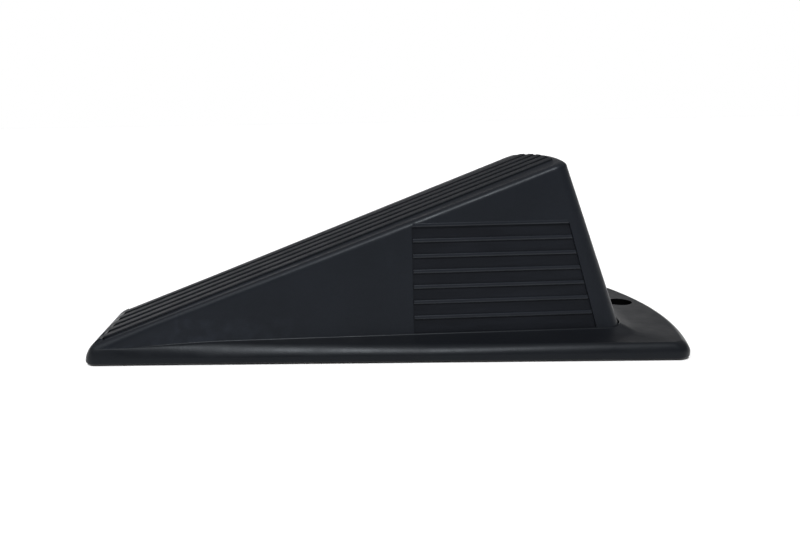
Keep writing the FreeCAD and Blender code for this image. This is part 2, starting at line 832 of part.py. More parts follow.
def make_base_screws():
    """The four identical screws, kept together as one group of separate solids."""
    group = doc.addObject("Part::Compound", "base_screws")
    group.Label = "base_screws"
    group.Links = [make_screw(index + 1, x, y) for index, (x, y) in enumerate(screw_places())]
    doc.recompute()
    return group


# ---- build, check and write ---------------------------------------------------------


def check(parts):
    for item in doc.Objects:
        if {"Invalid", "Error"} & set(item.State):
            raise RuntimeError(f"{item.Label} failed: {item.State}")
    for part in parts:
        if part.Shape.isNull() or not part.Shape.isValid():
            raise RuntimeError(f"{part.Label} has no valid shape")


def write(parts):
    os.makedirs("parts", exist_ok=True)
    for part in parts:
        part.Shape.exportStep(f"parts/{part.Label}.step")
        print(f"{part.Label}: {len(part.Shape.Solids)} solid(s), {part.Shape.Volume / 1000:.2f} cm3")


fill_sheet()
pieces = [make_wedge_shell(), make_base_plate(), make_sole_pad()]
pieces += [make_tread_strip(index) for index in range(TREAD_STRIPS)]
pieces += [make_side_grip(-1, "side_grip_left"), make_side_grip(1, "side_grip_right")]
pieces += [make_base_screws()]
doc.recompute()
check(pieces)
write(pieces)
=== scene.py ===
import json
import math

import bmesh
import bpy
from mathutils import Matrix, Vector
from mathutils.bvhtree import BVHTree
from mathutils.geometry import barycentric_transform


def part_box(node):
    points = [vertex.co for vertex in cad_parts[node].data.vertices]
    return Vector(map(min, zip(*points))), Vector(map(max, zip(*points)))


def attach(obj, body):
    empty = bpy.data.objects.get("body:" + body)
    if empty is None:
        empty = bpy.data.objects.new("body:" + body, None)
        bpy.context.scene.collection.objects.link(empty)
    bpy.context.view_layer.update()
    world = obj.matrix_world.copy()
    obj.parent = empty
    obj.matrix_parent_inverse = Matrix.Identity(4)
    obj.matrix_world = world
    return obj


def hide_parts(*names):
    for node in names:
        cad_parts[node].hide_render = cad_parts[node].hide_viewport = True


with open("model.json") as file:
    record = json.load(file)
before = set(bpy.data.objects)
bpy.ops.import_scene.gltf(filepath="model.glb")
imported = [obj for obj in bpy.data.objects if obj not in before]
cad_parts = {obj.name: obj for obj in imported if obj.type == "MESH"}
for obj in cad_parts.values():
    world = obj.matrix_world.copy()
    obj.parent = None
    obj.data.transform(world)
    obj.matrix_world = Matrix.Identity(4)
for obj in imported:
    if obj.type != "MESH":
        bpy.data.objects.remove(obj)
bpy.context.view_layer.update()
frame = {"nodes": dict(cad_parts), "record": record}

MM = 0.001
BODY = "root"
SLOTS = {part["node"]: part["material_slot"] for part in frame["record"]["subparts"]}

# ---- the studio: camera, lights, world and floor (millimetres and degrees) ----------------
CAMERA_PLACE = Vector((-26.4, -210.4, 63.8)) * MM
CAMERA_YAW = 8.285      # turned from +Y towards +X
CAMERA_DROP = 11.65     # looking down
CAMERA_ROLL = -0.92
CAMERA_LENS = 31.58
CAMERA_SENSOR = 36.0    # width
CAMERA_NEAR = 5.0
KEY_AZIMUTH = -15.0     # azimuths count from -Y, positive towards +X
KEY_HEIGHT = 55.0       # heights count from the floor
KEY_SPREAD = 14.0
KEY_STRENGTH = 3.2
EDGE_AZIMUTH = -74.0    # of a weak light that picks out the deck's edges
EDGE_HEIGHT = 53.0
EDGE_SPREAD = 30.0
EDGE_STRENGTH = 0.7
FILL_SPREAD = 120.0
FILL_STRENGTH = 0.8
HORIZON_TOP = 0.165     # the world is white up to here, as the sine of the elevation
HORIZON_END = 0.22
ROOM_GREY = 0.10        # the world above the white band
ROOM_BLUE = ROOM_GREY * 1.05
FLOOR_SIZE = 40.0       # metres
FLOOR_ALBEDO = 0.9
FLOOR_ROUGHNESS = 0.9
FLOOR_SPECULAR = 0.1

# ---- detail of the moulded surfaces: noise in cycles per metre ------------------------------
SHEEN_TINT = (0.80, 0.86, 0.92)  # the plastic's cool shine
CLOUDS = 38.0           # of lighter and darker colour
GLOSS_PATCHES = 120.0
GLOSS_RANGE = 0.05      # of roughness either way
RUBBING = 300.0         # of wear along the edges
STREAKS = 420.0
COARSE_GRAIN = 650.0
FINE_GRAIN = 2600.0
STREAK_LIGHTER = 1.9
WEAR_LIGHTER = 2.6
COARSE_DEEPER = 1.6     # than the fine grain
COARSE_STRENGTH = 0.6
STEEL_CLOUDS, STEEL_GLOSS, STEEL_GRAIN = 400.0, 900.0, 2200.0
STEEL_GRAIN_DEPTH = 0.01
MIX_COLOURS = (6, 7)    # colour sockets of a Mix node
MIX_RESULT = 2

# ---- sizes of the design, in millimetres and degrees ----------------------------------------
DECK_ANGLE = math.radians(19.76)
DECK_TOE_HEIGHT = 4.65  # of the deck's plane above the floor, at the very front
PLATE_TOP = 4.8
PLATE_BOTTOM = 0.3
PLATE_TOE_HALF = 18.6
PLATE_FLARE = math.radians(9.3)
PLATE_RIM = 2.8         # rounding of the upper rim, less where the flange is narrow
PLATE_FOOT = 0.8        # rounding of the lower edge
HEEL_CORNER_X = 75.9
HEEL_CORNER_ROUND = 4.0
HANG_HOLE_X = 76.6
HANG_HOLE_RADIUS = 4.1
SOLE_TOP = 1.9
SOLE_FRONT = -78.5
SOLE_BACK = 64.0
SOLE_MARGIN = 5.0       # between the sole and the plate's sides
SOLE_CORNER_ROUND = 5.0
BACK_CORNER_X = 62.7
BACK_CORNER_ROUND = 4.0
BACK_RADIUS = 100.0
FLANGE_CLIMB = 0.95     # how far the flange's top climbs the side walls
HEEL_CLIMB = 1.6        # and the back wall
CLIMB_RUN = 5.0         # over at most this width
CLIMB_GROWS = (-78.0, -48.0)  # from nothing at the toe to its full height
WALL_OVERLAP = 0.3      # how far the flange runs on under the wall
SEAM_COVE = 0.4         # small cove where the flange meets the wall
COVE_SHARE = 0.3        # and at most this share of the flange's width
SEAM_TUCK = 0.02        # how far the cove starts inside the wall
RIM_FULLNESS = 1.5      # shape of the rim's section on a narrow flange
RIM_FULLNESS_WIDE = 1.25
FAN = (0.5, 1.2)        # shares of the side over which the flange's lines fan out to the heel
LENGTH = 171.5
TOE_X = -LENGTH / 2
NOSE_RADIUS = 7.0
TOE_BLEND = 4.0         # rounding between the nose and the deck
TOE_EDGE = 3.6          # rounding of the deck's edges at the toe
DECK_EDGE = 1.8         # and from the end of the toe on
TOE_END = -60.0         # the toe is shaped here as far as this
TREAD_RISE = 0.6        # of the strips above the deck
TREAD_END_X = 48.3      # the strips end on an arc below the crest
TREAD_END_RADIUS = 83.0
TREAD_ROUND = 0.22      # edges of a strip
TREAD_ROOT = 0.4        # how far a strip reaches down into the deck
WALL_HALF = 25.6        # at the wall's foot, in the middle of the length
WALL_FLARE = math.radians(4.75)
WALL_DRAFT = math.radians(6.5)
GRIP_FRONT = 4.1        # a grip's outline: along the wall, and up it from its foot
GRIP_LOW = 1.1
GRIP_HIGH = 30.87
GRIP_BACK_LOW = 55.9
GRIP_BACK_HIGH = 48.1
GRIP_FLOOR = 0.6        # thickness of the panel behind its ribs
GRIP_RIBS = 6
RIB_FIRST = 5.8
RIB_PITCH = 4.27
RIB_THICKNESS = 1.1
RIB_HEIGHT = 0.8
RIB_ROUND = 0.32        # edges of a rib
RIB_ROOT = 0.1          # how far a rib reaches down into the panel's floor
RIB_GAP = 0.25          # between a rib's ends and the window
GROOVE_DEPTH = 0.5      # of the panel's floor under the wall's face
LIP_PROUD = 0.12        # of the lip along the window's upper edge

# ---- how finely curves and long faces are divided -------------------------------------------
TOE_STEPS, EDGE_STEPS, NOSE_STEPS, BLEND_STEPS, FRONT_STEPS = 20, 14, 12, 8, 4
SIDE_STEPS, CORNER_STEPS, END_STEPS, RIM_STEPS = 30, 12, 16, 10
COVE_STEPS, FOOT_STEPS, HOLE_STEPS, SOLE_CORNER_STEPS = 4, 4, 64, 8
TREAD_ROUND_STEPS, RIB_ROUND_STEPS, BAR_STEPS = 5, 4, 12

# ---- how the meshes are made, in millimetres and degrees ------------------------------------
OVERSHOOT = 2.0         # how far the toe's form runs on past its cuts
CUTTER_LOW = -1.0       # cutters reach from here, under the plate,
CUTTER_HIGH = 9.8       # to here, above it
WELD = 0.001            # points closer than this become one
LAST_WELD = 0.0005      # the same, for a finished piece and for the CAD's mesh
SLIVER = 0.02           # edges shorter than this vanish after a cut
SAME_LEVEL = 0.01       # heights closer than this are the same
SHARP_ANGLE = math.radians(38)
TOE_SHARP_ANGLE = math.radians(50)
ON_CUT = 0.001          # how near a face's middle lies to the plane of a cut
CAP_FACING = 0.999      # how squarely a face closes a cut
UPRIGHT = 0.1           # most that an upright face's normal rises
INTO_FACE = 0.02        # share of the way from a corner to its face's middle
NORMAL_MATCH = 0.96     # least cosine between a face and a normal that it takes
PLATE_SLOT, HOLE_SHADE_SLOT = 0, 1            # places of the plate's materials
PANEL_SLOT, RIB_SLOT, PAINTED_REFLECTION_SLOT = 0, 1, 2  # and of a side grip's


# ---- studio ---------------------------------------------------------------------------------


def make_camera():
    yaw, drop, roll = (math.radians(angle) for angle in (CAMERA_YAW, CAMERA_DROP, CAMERA_ROLL))
    ahead = Vector((math.sin(yaw) * math.cos(drop), math.cos(yaw) * math.cos(drop), -math.sin(drop)))
    level = Vector((math.cos(yaw), -math.sin(yaw), 0))
    rise = level.cross(ahead)
    right = level * math.cos(roll) + rise * math.sin(roll)
    up = rise * math.cos(roll) - level * math.sin(roll)
    data = bpy.data.cameras.new("camera")
    data.lens = CAMERA_LENS
    data.sensor_width = CAMERA_SENSOR
    data.clip_start = CAMERA_NEAR * MM
    camera = bpy.data.objects.new("camera", data)
    axes = Matrix((right, up, -ahead)).transposed().to_4x4()
    camera.matrix_world = Matrix.Translation(CAMERA_PLACE) @ axes
    bpy.context.scene.collection.objects.link(camera)
    bpy.context.scene.camera = camera


def make_sun(name, direction, spread, strength):
    """A far softbox seen in a direction, and as many degrees wide as its spread."""
    data = bpy.data.lights.new(name, "SUN")
    data.angle = math.radians(spread)
    data.energy = strength
    lamp = bpy.data.objects.new(name, data)
    lamp.rotation_euler = Vector(direction).to_track_quat("Z", "Y").to_euler()
    bpy.context.scene.collection.objects.link(lamp)


def from_side(azimuth, height):
    """The direction that a light comes from, at an azimuth and a height in degrees."""
    turn, rise = math.radians(azimuth), math.radians(height)
    level = Vector((math.sin(turn), -math.cos(turn), 0)) * math.cos(rise)
    return level + Vector((0, 0, math.sin(rise)))


def make_lights():
    make_sun("key", from_side(KEY_AZIMUTH, KEY_HEIGHT), KEY_SPREAD, KEY_STRENGTH)
    make_sun("edge", from_side(EDGE_AZIMUTH, EDGE_HEIGHT), EDGE_SPREAD, EDGE_STRENGTH)
    make_sun("fill", (0, 0, 1), FILL_SPREAD, FILL_STRENGTH)


def make_world():
    """White round the horizon, where the camera sees it, and a dim room above."""
    world = bpy.data.worlds.new("studio")
    bpy.context.scene.world = world
    world.use_nodes = True
    nodes, links = world.node_tree.nodes, world.node_tree.links
    coords = nodes.new("ShaderNodeTexCoord")
    split = nodes.new("ShaderNodeSeparateXYZ")
    ramp = nodes.new("ShaderNodeValToRGB")
    low, high = ramp.color_ramp.elements
    low.position, low.color = HORIZON_TOP, (1, 1, 1, 1)
    high.position, high.color = HORIZON_END, (ROOM_GREY, ROOM_GREY, ROOM_BLUE, 1)
    links.new(coords.outputs["Generated"], split.inputs[0])
    links.new(split.outputs["Z"], ramp.inputs[0])
    links.new(ramp.outputs[0], nodes["Background"].inputs["Color"])


def make_floor():
    mesh = bpy.data.meshes.new("floor")
    half = FLOOR_SIZE / 2
    corners = [(-half, -half, 0), (half, -half, 0), (half, half, 0), (-half, half, 0)]
    mesh.from_pydata(corners, [], [range(len(corners))])
    floor = bpy.data.objects.new("floor", mesh)
    bpy.context.scene.collection.objects.link(floor)
    paper = bpy.data.materials.new("floor_paper")
    paper.use_nodes = True
    shader = paper.node_tree.nodes["Principled BSDF"]
    shader.inputs["Base Color"].default_value = (FLOOR_ALBEDO, FLOOR_ALBEDO, FLOOR_ALBEDO, 1)
    shader.inputs["Roughness"].default_value = FLOOR_ROUGHNESS
    shader.inputs["Specular IOR Level"].default_value = FLOOR_SPECULAR
    mesh.materials.append(paper)


# ---- materials ------------------------------------------------------------------------------


class Nodes:
    """Short ways to add nodes to one material."""

    def __init__(self, name):
        self.material = bpy.data.materials.new(name)
        self.material.use_nodes = True
        self.tree = self.material.node_tree
        self.shader = self.tree.nodes["Principled BSDF"]
        coords = self.tree.nodes.new("ShaderNodeTexCoord")
        self.place = coords.outputs["Object"]

    def add(self, kind, **settings):
        node = self.tree.nodes.new("ShaderNode" + kind)
        for key, value in settings.items():
            setattr(node, key, value)
        return node

    def link(self, source, target):
        self.tree.links.new(source, target)

    def stretched(self, scale):
        """Object coordinates scaled separately along the three axes."""
        mapping = self.add("Mapping")
        mapping.inputs["Scale"].default_value = scale
        self.link(self.place, mapping.inputs["Vector"])
        return mapping.outputs["Vector"]

    def noise(self, scale, detail=2.0, roughness=0.5, place=None):
        """Noise of a given frequency, in cycles per metre."""
        node = self.add("TexNoise")
        node.inputs["Scale"].default_value = scale
        node.inputs["Detail"].default_value = detail
        node.inputs["Roughness"].default_value = roughness
        self.link(place or self.place, node.inputs["Vector"])
        return node.outputs["Fac"]

    def remap(self, value, low, high, to_low, to_high):
        """Carry the range from low to high over to another one, and hold it there."""
        node = self.add("MapRange")
        self.link(value, node.inputs["Value"])
        limits = {"From Min": low, "From Max": high, "To Min": to_low, "To Max": to_high}
        for name, number in limits.items():
            node.inputs[name].default_value = number
        return node.outputs["Result"]

    def product(self, first, second):
        node = self.add("Math", operation="MULTIPLY")
        self.link(first, node.inputs[0])
        self.link(second, node.inputs[1])
        return node.outputs[0]

    def blend(self, factor, first, second):
        """Mix two colours, each a tuple or a socket."""
        node = self.add("Mix", data_type="RGBA")
        self.link(factor, node.inputs["Factor"])
        for index, item in zip(MIX_COLOURS, (first, second)):
            if isinstance(item, tuple):
                node.inputs[index].default_value = (*item, 1)
            else:
                self.link(item, node.inputs[index])
        return node.outputs[MIX_RESULT]

    def bump(self, height, distance, strength=1.0, normal=None):
        node = self.add("Bump")
        node.inputs["Strength"].default_value = strength
        node.inputs["Distance"].default_value = distance * MM
        self.link(height, node.inputs["Height"])
        if normal is not None:
            self.link(normal, node.inputs["Normal"])
        return node.outputs["Normal"]

    def edges(self, low=0.52, high=0.60):
        """1 on worn convex edges, 0 elsewhere, from how sharply the surface turns."""
        geometry = self.add("NewGeometry")
        return self.remap(geometry.outputs["Pointiness"], low, high, 0.0, 1.0)


def shade(name, dark, light, rough, specular, grain, streaks=None, wear=0.0):
    """Moulded plastic or rubber: cloudy colour, grain of a depth in millimetres, streaks and worn edges."""
    nodes = Nodes(name)
    clouds = nodes.remap(nodes.noise(CLOUDS, detail=4.0, roughness=0.6), 0.35, 0.65, 0.0, 1.0)
    colour = nodes.blend(clouds, dark, light)
    fine = nodes.noise(FINE_GRAIN, roughness=0.6)
    if streaks is not None:
        lines = nodes.noise(STREAKS, detail=3.0, roughness=0.6, place=nodes.stretched(streaks))
        pale = tuple(part * STREAK_LIGHTER for part in light)
        colour = nodes.blend(nodes.remap(lines, 0.45, 0.75, 0.0, 0.55), colour, pale)
    if wear:
        patchy = nodes.remap(nodes.noise(RUBBING, detail=3.0), 0.4, 0.7, 0.0, wear)
        rubbed = nodes.product(nodes.edges(), patchy)
        colour = nodes.blend(rubbed, colour, tuple(part * WEAR_LIGHTER for part in light))
    nodes.link(colour, nodes.shader.inputs["Base Color"])
    patches = nodes.noise(GLOSS_PATCHES, detail=3.0, roughness=0.55)
    roughness = nodes.remap(patches, 0.3, 0.7, rough - GLOSS_RANGE, rough + GLOSS_RANGE)
    nodes.link(roughness, nodes.shader.inputs["Roughness"])
    nodes.shader.inputs["Specular IOR Level"].default_value = specular
    nodes.shader.inputs["Specular Tint"].default_value = (*SHEEN_TINT, 1)
    coarse = nodes.bump(nodes.noise(COARSE_GRAIN), grain * COARSE_DEEPER, strength=COARSE_STRENGTH)
    nodes.link(nodes.bump(fine, grain, normal=coarse), nodes.shader.inputs["Normal"])
    return nodes.material


def body_plastic():
    return shade("body_plastic", dark=(0.0050, 0.0060, 0.0082), light=(0.0060, 0.0072, 0.0100),
                 rough=0.38, specular=0.15, grain=0.02, wear=0.5)


def plate_plastic():
    return shade("plate_plastic", dark=(0.0042, 0.0048, 0.0062), light=(0.0050, 0.0058, 0.0074),
                 rough=0.38, specular=0.14, grain=0.02, wear=0.5)


def plate_hole_painted_shade():
    """Painted shade: the same plastic, painted far darker inside the hole, where little light gets in."""
    return shade("plate_hole_painted_shade", dark=(0.0008, 0.0009, 0.0010), light=(0.0010, 0.0011, 0.0012),
                 rough=0.6, specular=0.03, grain=0.02)


def tread_rubber():
    return shade("tread_rubber", dark=(0.0070, 0.0078, 0.0094), light=(0.0088, 0.0096, 0.0116),
                 rough=0.5, specular=0.12, grain=0.02)


def grip_rubber():
    return shade("grip_rubber", dark=(0.0032, 0.0036, 0.0052), light=(0.0040, 0.0046, 0.0064),
                 rough=0.5, specular=0.12, grain=0.02, streaks=(0.05, 1.0, 1.0))


def grip_rib():
    return shade("grip_rib", dark=(0.0060, 0.0072, 0.0100), light=(0.0075, 0.0088, 0.0120),
                 rough=0.38, specular=0.15, grain=0.015)


def grip_edge_painted_reflection():
    """Painted reflection: the ribs' lower edges painted pale, where they would mirror the bright floor."""
    return shade("grip_edge_painted_reflection", dark=(0.0180, 0.0195, 0.0225), light=(0.0250, 0.0270, 0.0310),
                 rough=0.38, specular=0.15, grain=0.015)


def sole_rubber():
    return shade("sole_rubber", dark=(0.008, 0.008, 0.008), light=(0.012, 0.012, 0.012),
                 rough=0.7, specular=0.2, grain=0.03)


def screw_steel():
    nodes = Nodes("screw_steel")
    shader = nodes.shader
    shader.inputs["Metallic"].default_value = 1.0
    colour = nodes.blend(nodes.noise(STEEL_CLOUDS, detail=3.0), (0.42, 0.42, 0.41), (0.56, 0.56, 0.55))
    nodes.link(colour, shader.inputs["Base Color"])
    nodes.link(nodes.remap(nodes.noise(STEEL_GLOSS), 0.3, 0.7, 0.3, 0.45), shader.inputs["Roughness"])
    nodes.link(nodes.bump(nodes.noise(STEEL_GRAIN), STEEL_GRAIN_DEPTH), shader.inputs["Normal"])
    return nodes.material


def make_materials():
    makers = (body_plastic, plate_plastic, plate_hole_painted_shade, tread_rubber, grip_rubber, grip_rib, grip_edge_painted_reflection,
              sole_rubber, screw_steel)
    return {maker.__name__: maker() for maker in makers}


# ---- meshes -----------------------------------------------------------------------------------


def finish_piece(bm, name, node, materials):
    """Turn a bmesh in millimetres into a piece that stands for a CAD node."""
    bmesh.ops.remove_doubles(bm, verts=bm.verts, dist=LAST_WELD)
    bmesh.ops.recalc_face_normals(bm, faces=bm.faces)
    mesh = bpy.data.meshes.new(name)
    bmesh.ops.scale(bm, vec=(MM, MM, MM), verts=bm.verts)
    bm.to_mesh(mesh)
    bm.free()
    for material in materials:
        mesh.materials.append(material)
    mesh.polygons.foreach_set("use_smooth", [True] * len(mesh.polygons))
    mesh.set_sharp_from_angle(angle=SHARP_ANGLE)
    piece = bpy.data.objects.new(name, mesh)
    bpy.context.scene.collection.objects.link(piece)
    modifier = piece.modifiers.new("even_shading", "WEIGHTED_NORMAL")
    modifier.keep_sharp = True
    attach(piece, BODY)
    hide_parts(node)
    return piece


def grid_faces(bm, rows, material=None):
    """Quads between neighbouring rows of vertices; material gives each row of quads its slot."""
    for index, (first, second) in enumerate(zip(rows, rows[1:])):
        for k in range(len(first) - 1):
            face = bm.faces.new((first[k], first[k + 1], second[k + 1], second[k]))
            if material is not None:
                face.material_index = material[index]


def quarter(steps):
    """Angles from 0 to a right angle, ends included."""
    return [math.pi / 2 * step / steps for step in range(steps + 1)]


def deck_axes():
    """The deck's slope and upward directions in side view."""
    slope = Vector((math.cos(DECK_ANGLE), math.sin(DECK_ANGLE)))
    return slope, Vector((-slope.y, slope.x))


def nose_centre():
    """Centre of the nose arc in side view, (x, z)."""
    x = TOE_X + NOSE_RADIUS
    top = DECK_TOE_HEIGHT + NOSE_RADIUS * math.tan(DECK_ANGLE) + TREAD_RISE / math.cos(DECK_ANGLE)
    return Vector((x, top - NOSE_RADIUS / math.cos(DECK_ANGLE)))


def blend_centre():
    """Centre of the arc that joins the nose to the deck in side view."""
    slope, up = deck_axes()
    lift = NOSE_RADIUS - TREAD_RISE - TOE_BLEND
    reach = NOSE_RADIUS - TOE_BLEND
    return nose_centre() + up * lift - slope * math.sqrt(reach * reach - lift * lift)


def blend_start():
    """Angle from the deck's upward direction to where the nose arc ends."""
    slope, up = deck_axes()
    away = (blend_centre() - nose_centre()).normalized()
    return math.acos(away.dot(up))


# ---- the shell, with the toe's outline, which the plate follows too ---------------------------


def wall_half(x, z):
    """Half width between the side walls' flat faces."""
    return WALL_HALF + x * math.tan(WALL_FLARE) - (z - PLATE_TOP) * math.tan(WALL_DRAFT)


def plate_half(x):
    """Half width of the base plate ahead of its heel corners."""
    return PLATE_TOE_HALF + (x - TOE_X) * math.tan(PLATE_FLARE)


def depth_under_profile(place):
    """How deep a point of the side view lies under the toe's outline: deck, blend and nose."""
    slope, up = deck_axes()
    from_nose = place - nose_centre()
    from_blend = place - blend_centre()
    if from_blend.dot(slope) >= 0:
        return NOSE_RADIUS - TREAD_RISE - from_nose.dot(up)
    if math.atan2(-from_blend.dot(slope), from_blend.dot(up)) < blend_start():
        return TOE_BLEND - from_blend.length
    return NOSE_RADIUS - from_nose.length


def edge_round(x):
    """Rounding of the deck's edge, which shrinks from the toe back."""
    share = min(max((x - TOE_X) / (TOE_END - TOE_X), 0.0), 1.0)
    return TOE_EDGE + (DECK_EDGE - TOE_EDGE) * math.sin(share * math.pi / 2)


def body_half(x, z):
    """Half width of the toe at a point of the side view, with its edges rounded."""
    radius = edge_round(x)
    depth = max(depth_under_profile(Vector((x, z))), 0.0)
    spread = math.tan(WALL_FLARE) * math.sin(DECK_ANGLE) + math.tan(WALL_DRAFT) * math.cos(DECK_ANGLE)
    steep = math.sqrt(1 + spread * spread)
    flat = wall_half(x, z)
    if depth > radius * (1 - spread / steep):
        return flat
    centre = flat - spread * depth + radius * (spread - steep)
    return centre + math.sqrt(radius * radius - (radius - depth) ** 2)


def toe_profile():
    """The toe's side view, from the underside to just past TOE_END: pairs of point and inward direction."""
    slope, up = deck_axes()
    rows = []
    centre = nose_centre()
    low = math.asin((PLATE_BOTTOM - centre.y) / NOSE_RADIUS)
    high = math.pi / 2 + DECK_ANGLE - blend_start()
    for step in range(NOSE_STEPS + 1):
        angle = low + (high - low) * step / NOSE_STEPS
        out = Vector((-math.cos(angle), math.sin(angle)))
        rows.append((centre + out * NOSE_RADIUS, -out))
    for step in range(1, BLEND_STEPS + 1):
        turn = blend_start() * (1 - step / BLEND_STEPS)
        out = up * math.cos(turn) - slope * math.sin(turn)
        rows.append((blend_centre() + out * TOE_BLEND, -out))
    start = rows[-1][0]
    reach = (TOE_END + OVERSHOOT - start.x) / slope.x
    for step in range(1, TOE_STEPS + 1):
        rows.append((start + slope * reach * (step / TOE_STEPS), -up))
    return rows


def toe_form():
    """The toe as one closed form, reaching a little past where it is cut off."""
    bm = bmesh.new()
    for side in (-1, 1):
        rows = []
        for place, inward in toe_profile():
            radius = edge_round(place.x)
            row = [Vector((place.x, 0, place.y))]
            for angle in reversed(quarter(EDGE_STEPS)):
                point = place + inward * radius * (1 - math.sin(angle))
                row.append(Vector((point.x, side * body_half(point.x, point.y), point.y)))
            x, foot = row[-1].x, min(row[-1].z, PLATE_TOP - OVERSHOOT)
            row.append(Vector((x, side * wall_half(x, foot), foot)))
            row.append(Vector((x, 0, foot)))
            rows.append([bm.verts.new(point) for point in row])
        grid_faces(bm, rows)
    bmesh.ops.remove_doubles(bm, verts=bm.verts, dist=WELD)
    bmesh.ops.holes_fill(bm, edges=[edge for edge in bm.edges if edge.is_boundary])
    bmesh.ops.recalc_face_normals(bm, faces=bm.faces)
    return bm


def cut_at(bm, place, normal):
    """Keep what lies on the side that the normal points to, and close the cut."""
    everything = bm.verts[:] + bm.edges[:] + bm.faces[:]
    cut = bmesh.ops.bisect_plane(bm, geom=everything, plane_co=place, plane_no=normal, clear_inner=True)
    rim = [item for item in cut["geom_cut"] if isinstance(item, bmesh.types.BMEdge) and item.is_boundary]
    bmesh.ops.triangle_fill(bm, edges=rim, use_beauty=True)
    bmesh.ops.dissolve_degenerate(bm, edges=bm.edges, dist=SLIVER)


def take_normals(mesh, normals, source, wanted):
    """Fill in normals, for the faces that are wanted, from the mesh that they were cut from."""
    source.calc_loop_triangles()
    corners = source.corner_normals
    places = [vertex.co for vertex in source.vertices]
    triangles = [tuple(triangle.vertices) for triangle in source.loop_triangles]
    tree = BVHTree.FromPolygons(places, triangles)
    for polygon in filter(wanted, mesh.polygons):
        for loop in polygon.loop_indices:
            place = mesh.vertices[mesh.loops[loop].vertex_index].co
            near, _, index, _ = tree.find_nearest(place.lerp(polygon.center, INTO_FACE))
            triangle = source.loop_triangles[index]
            spots = [places[vertex] for vertex in triangle.vertices]
            exact = [corners[corner].vector for corner in triangle.loops]
            normal = barycentric_transform(near, *spots, *exact).normalized()
            if normal.dot(polygon.normal) > NORMAL_MATCH:
                normals[loop] = normal


def in_toe(polygon):
    """A face of the toe's outer surface, not of the cuts that close it."""
    cap = abs(polygon.normal.x) > CAP_FACING or polygon.normal.z < -CAP_FACING
    return polygon.center.x < (TOE_END - ON_CUT) * MM and not cap


def behind_toe(polygon):
    """A face of the shell as designed, behind the cut."""
    return polygon.center.x > (TOE_END + ON_CUT) * MM


def smooth_copy(bm, name):
    """A mesh in metres, shaded smooth but for its sharp edges."""
    mesh = bpy.data.meshes.new(name)
    bm.to_mesh(mesh)
    mesh.transform(Matrix.Scale(MM, 4))
    mesh.polygons.foreach_set("use_smooth", [True] * len(mesh.polygons))
    mesh.set_sharp_from_angle(angle=TOE_SHARP_ANGLE)
    return mesh


def make_wedge_body(materials):
    """The shell as designed from TOE_END back, and ahead of it the rounded toe."""
    designed = frame["nodes"]["wedge_shell"].data
    toe = toe_form()
    uncut = smooth_copy(toe, "uncut")
    cut_at(toe, (TOE_END, 0, 0), (-1, 0, 0))
    cut_at(toe, (0, 0, PLATE_TOP), (0, 0, 1))
    toe_mesh = bpy.data.meshes.new("toe")
    toe.to_mesh(toe_mesh)
    toe.free()
    bm = bmesh.new()
    bm.from_mesh(designed)
    bmesh.ops.scale(bm, vec=(1 / MM, 1 / MM, 1 / MM), verts=bm.verts)
    bmesh.ops.remove_doubles(bm, verts=bm.verts, dist=LAST_WELD)
    cut_at(bm, (TOE_END, 0, 0), (1, 0, 0))
    bm.from_mesh(toe_mesh)
    bpy.data.meshes.remove(toe_mesh)
    body = finish_piece(bm, "wedge_body", "wedge_shell", [materials["body_plastic"]])
    body.modifiers.clear()
    normals = [corner.vector.copy() for corner in body.data.corner_normals]
    take_normals(body.data, normals, designed, behind_toe)
    take_normals(body.data, normals, uncut, in_toe)
    bpy.data.meshes.remove(uncut)
    body.data.normals_split_custom_set(normals)


# ---- base plate ---------------------------------------------------------------------------------


def smooth(value, low, high):
    """0 below low, 1 above high, and an even S between them."""
    share = min(max((value - low) / (high - low), 0.0), 1.0)
    return share * share * (3 - 2 * share)


def corner_centre(half, flare, arc_x, arc_radius, radius):
    """Centre of the rounding between a flared side and an end arc; half is the side's half width at x = 0."""
    slope = math.tan(flare)
    start = half - radius / math.cos(flare)
    a, b = 1 + slope * slope, start * slope - arc_x
    c = arc_x * arc_x + start * start - (arc_radius - radius) ** 2
    x = (-b + math.sqrt(b * b - a * c)) / a
    return Vector((x, start + slope * x))


def rear_outline(half, flare, arc_x, arc_radius, radius, side_places):
    """Half an outline from TOE_END back: along a flared side, round the corner and along the end arc."""
    centre = corner_centre(half, flare, arc_x, arc_radius, radius)
    end_turn = math.atan2(centre.y, centre.x - arc_x)
    reach = centre.x - radius * math.sin(flare) - TOE_END
    points = []
    for share in side_places:
        x = TOE_END + reach * share
        points.append(Vector((x, half + x * math.tan(flare))))
    for step in range(1, CORNER_STEPS + 1):
        turn = math.pi / 2 + flare + (end_turn - math.pi / 2 - flare) * step / CORNER_STEPS
        points.append(centre + Vector((math.cos(turn), math.sin(turn))) * radius)
    for step in range(1, END_STEPS + 1):
        turn = end_turn * (1 - step / END_STEPS)
        points.append(Vector((arc_x + arc_radius * math.cos(turn), arc_radius * math.sin(turn))))
    return points


